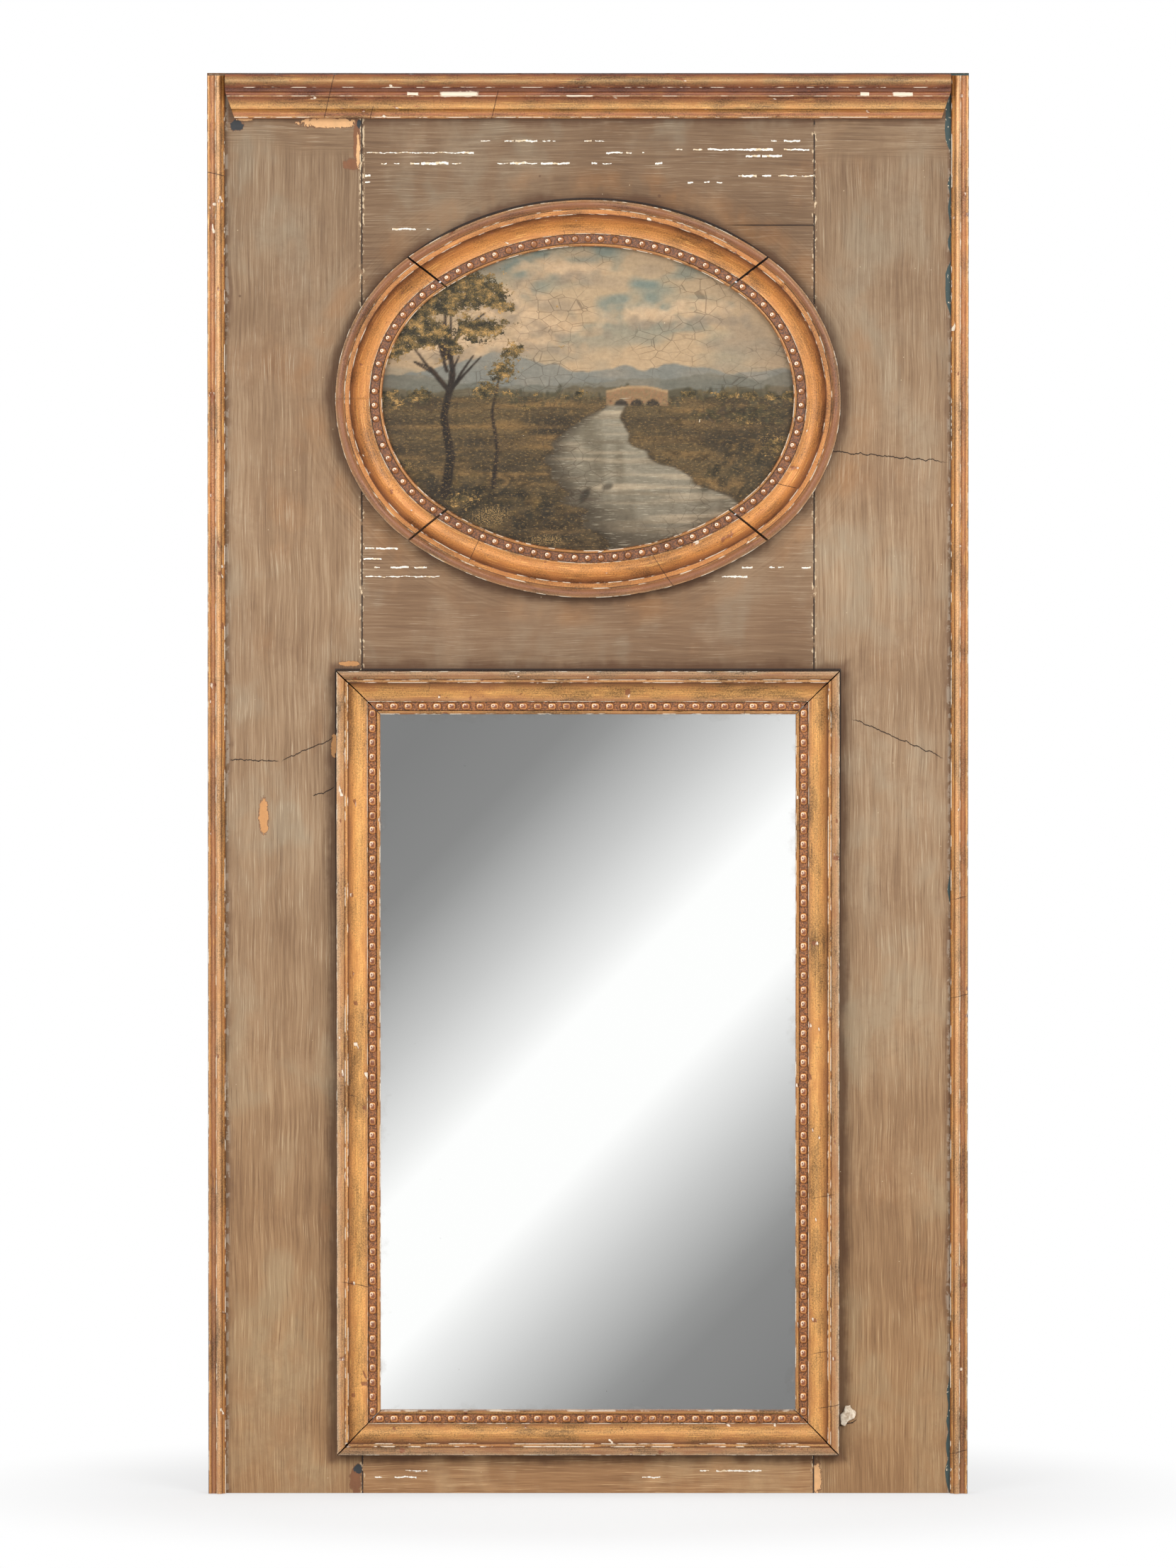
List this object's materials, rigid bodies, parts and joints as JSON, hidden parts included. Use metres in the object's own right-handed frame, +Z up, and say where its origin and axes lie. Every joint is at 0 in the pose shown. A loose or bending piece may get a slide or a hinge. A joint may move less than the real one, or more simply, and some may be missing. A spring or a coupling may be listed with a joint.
{
  "type": "trumeau mirror",
  "caption": "Tall painted wall panel with an oval picture in a gilt beaded frame above a mirror in a gilt beaded frame.",
  "frame": {"origin": "middle of the base, at mid depth, level with the lower edge of the panel", "axes": "+Z up, +X to the viewer's right, -Y out of the front"},
  "size_m": [0.722, 0.052, 1.35],
  "materials": {
    "stile_paint": "old taupe paint with vertical brush marks over wood",
    "rail_paint": "old taupe paint with level brush marks over wood",
    "edge_gilding": "worn gold leaf on gesso over wood",
    "cornice_gilding": "dulled gold leaf on gesso over wood",
    "oval_gilding": "worn gold leaf on gesso over wood",
    "mirror_gilding": "worn gold leaf on gesso over wood",
    "bead_gilding": "gold leaf on moulded beads, rubbed and dark between them",
    "picture": "aged varnished oil paint on a wooden panel",
    "mirror_plate": "silvered glass",
    "block_wood": "bare softwood",
    "backboard_wood": "bare darkened softwood",
    "hanger_metal": "dulled brass"
  },
  "bodies": {
    "panel": {"left_stile": "stile_paint", "right_stile": "stile_paint", "top_rail": "rail_paint", "middle_rail": "rail_paint", "bottom_rail": "rail_paint", "oval_surround_upper": "rail_paint", "oval_surround_lower": "rail_paint", "left_edge_moulding": "edge_gilding", "right_edge_moulding": "edge_gilding", "cornice_moulding": "cornice_gilding", "oval_frame_top": "oval_gilding", "oval_beads_top": "bead_gilding", "mirror_frame_top": "mirror_gilding", "mirror_beads_top": "bead_gilding", "oval_frame_bottom": "oval_gilding", "oval_beads_bottom": "bead_gilding", "mirror_frame_bottom": "mirror_gilding", "mirror_beads_bottom": "bead_gilding", "oval_frame_left": "oval_gilding", "oval_beads_left": "bead_gilding", "mirror_frame_left": "mirror_gilding", "mirror_beads_left": "bead_gilding", "oval_frame_right": "oval_gilding", "oval_beads_right": "bead_gilding", "mirror_frame_right": "mirror_gilding", "mirror_beads_right": "bead_gilding", "painted_panel": "picture", "mirror_glass": "mirror_plate", "glass_block_left_lower": "block_wood", "glass_block_left_upper": "block_wood", "glass_block_right_lower": "block_wood", "glass_block_right_upper": "block_wood", "glass_block_bottom_left": "block_wood", "glass_block_bottom_right": "block_wood", "glass_block_top_left": "block_wood", "glass_block_top_right": "block_wood", "picture_block_left": "block_wood", "picture_block_right": "block_wood", "picture_block_bottom": "block_wood", "picture_block_top": "block_wood", "backboard_left": "backboard_wood", "backboard_middle": "backboard_wood", "backboard_right": "backboard_wood", "left_hanger_strap": "hanger_metal", "right_hanger_strap": "hanger_metal"},
    "left_ring": {"left_hanger_ring": "hanger_metal"},
    "right_ring": {"right_hanger_ring": "hanger_metal"}
  },
  "joints": [
    {"name": "left_ring_swing", "type": "hinge", "parent": "panel", "child": "left_ring", "pos_m": [-0.15, 0.02284, 1.292], "axis": [1, 0, 0], "range_deg": [0, 170]},
    {"name": "right_ring_swing", "type": "hinge", "parent": "panel", "child": "right_ring", "pos_m": [0.15, 0.02284, 1.292], "axis": [1, 0, 0], "range_deg": [0, 170]}
  ]
}
